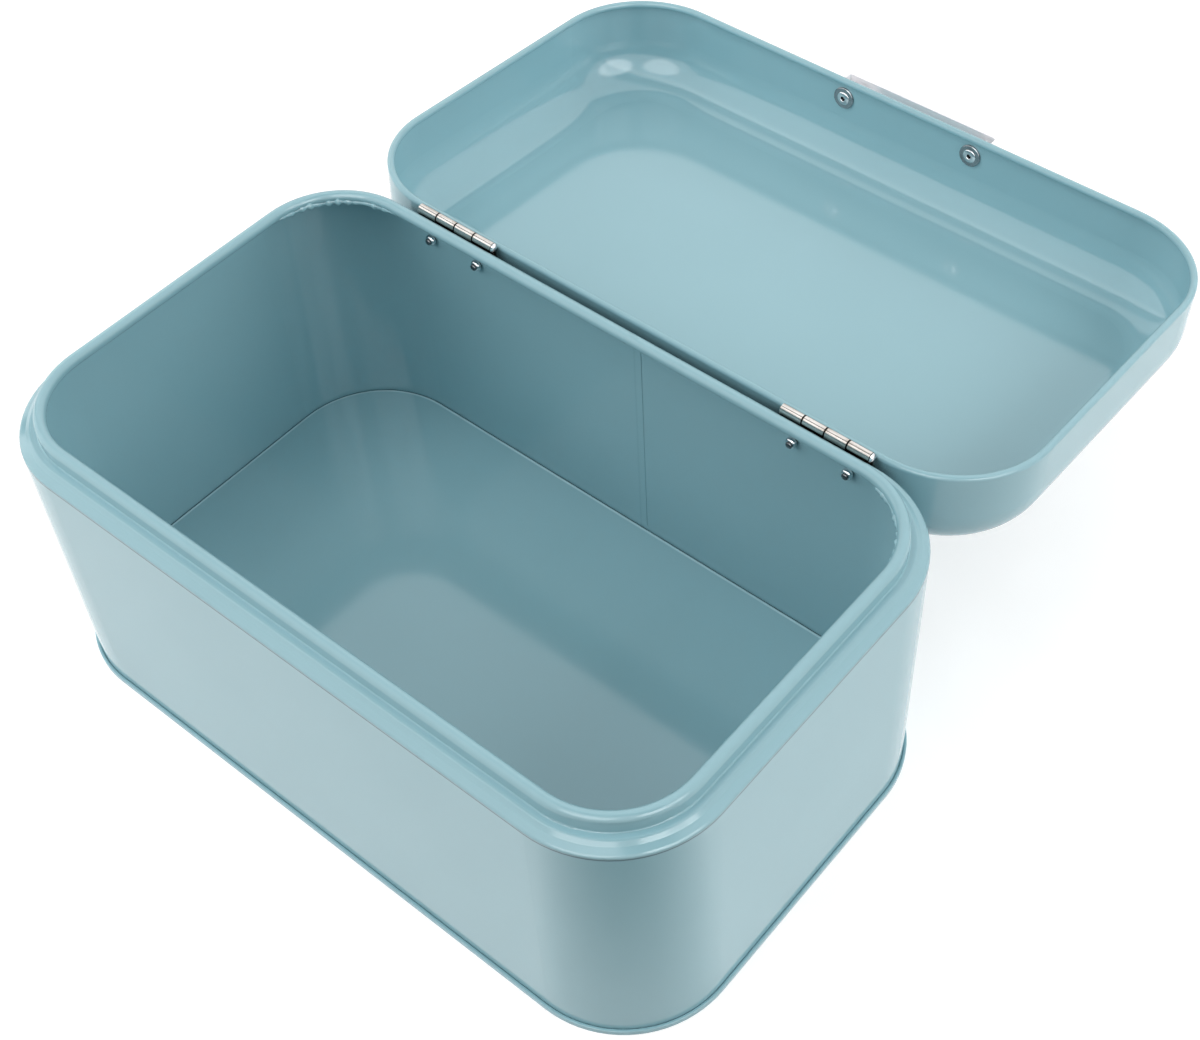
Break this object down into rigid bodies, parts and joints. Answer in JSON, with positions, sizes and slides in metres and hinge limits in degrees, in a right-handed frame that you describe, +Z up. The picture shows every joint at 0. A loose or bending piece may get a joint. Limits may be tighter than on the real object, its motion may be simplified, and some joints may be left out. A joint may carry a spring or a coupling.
{
  "type": "bread box",
  "caption": "Painted steel bread box: deep rounded body with a stepped rim, and a shallow pressed lid that folds back on butt hinges and lifts by a strap handle.",
  "frame": {"origin": "on the plane of the table, under the centre of the body, in the flat underside of the base seam", "axes": "+Z up, +Y towards the hinges and the open lid, +X along the length, to the right of someone at the front"},
  "size_m": [0.3056, 0.3791, 0.125],
  "materials": {
    "painted_sheet": "satin powder coat, pale duck-egg blue",
    "hinge_steel": "nickel-plated steel, fine brushed",
    "handle_chrome": "polished plate",
    "washer_steel": "zinc-plated steel",
    "rivet_aluminium": "bright aluminium",
    "mandrel_steel": "plain steel"
  },
  "bodies": {
    "body": {"body_shell": "painted_sheet", "base_panel": "painted_sheet", "hinge_left_body_leaf": "hinge_steel", "hinge_left_pin": "hinge_steel", "hinge_left_body_rivet_left": "rivet_aluminium", "hinge_left_body_mandrel_left": "mandrel_steel", "hinge_left_body_rivet_right": "rivet_aluminium", "hinge_left_body_mandrel_right": "mandrel_steel", "hinge_right_body_leaf": "hinge_steel", "hinge_right_pin": "hinge_steel", "hinge_right_body_rivet_left": "rivet_aluminium", "hinge_right_body_mandrel_left": "mandrel_steel", "hinge_right_body_rivet_right": "rivet_aluminium", "hinge_right_body_mandrel_right": "mandrel_steel"},
    "lid": {"lid_shell": "painted_sheet", "handle": "handle_chrome", "handle_washer_left": "washer_steel", "handle_washer_right": "washer_steel", "handle_rivet_left": "rivet_aluminium", "handle_mandrel_left": "mandrel_steel", "hinge_left_lid_leaf": "hinge_steel", "hinge_left_lid_rivet_left": "rivet_aluminium", "hinge_left_lid_mandrel_left": "mandrel_steel", "hinge_left_lid_rivet_right": "rivet_aluminium", "hinge_left_lid_mandrel_right": "mandrel_steel", "handle_rivet_right": "rivet_aluminium", "handle_mandrel_right": "mandrel_steel", "hinge_right_lid_leaf": "hinge_steel", "hinge_right_lid_rivet_left": "rivet_aluminium", "hinge_right_lid_mandrel_left": "mandrel_steel", "hinge_right_lid_rivet_right": "rivet_aluminium", "hinge_right_lid_mandrel_right": "mandrel_steel"}
  },
  "joints": [
    {"name": "lid_hinge", "type": "hinge", "parent": "body", "child": "lid", "pos_m": [0, 0.09265, 0.1165], "axis": [1, 0, 0], "range_deg": [0, 183.8]}
  ]
}
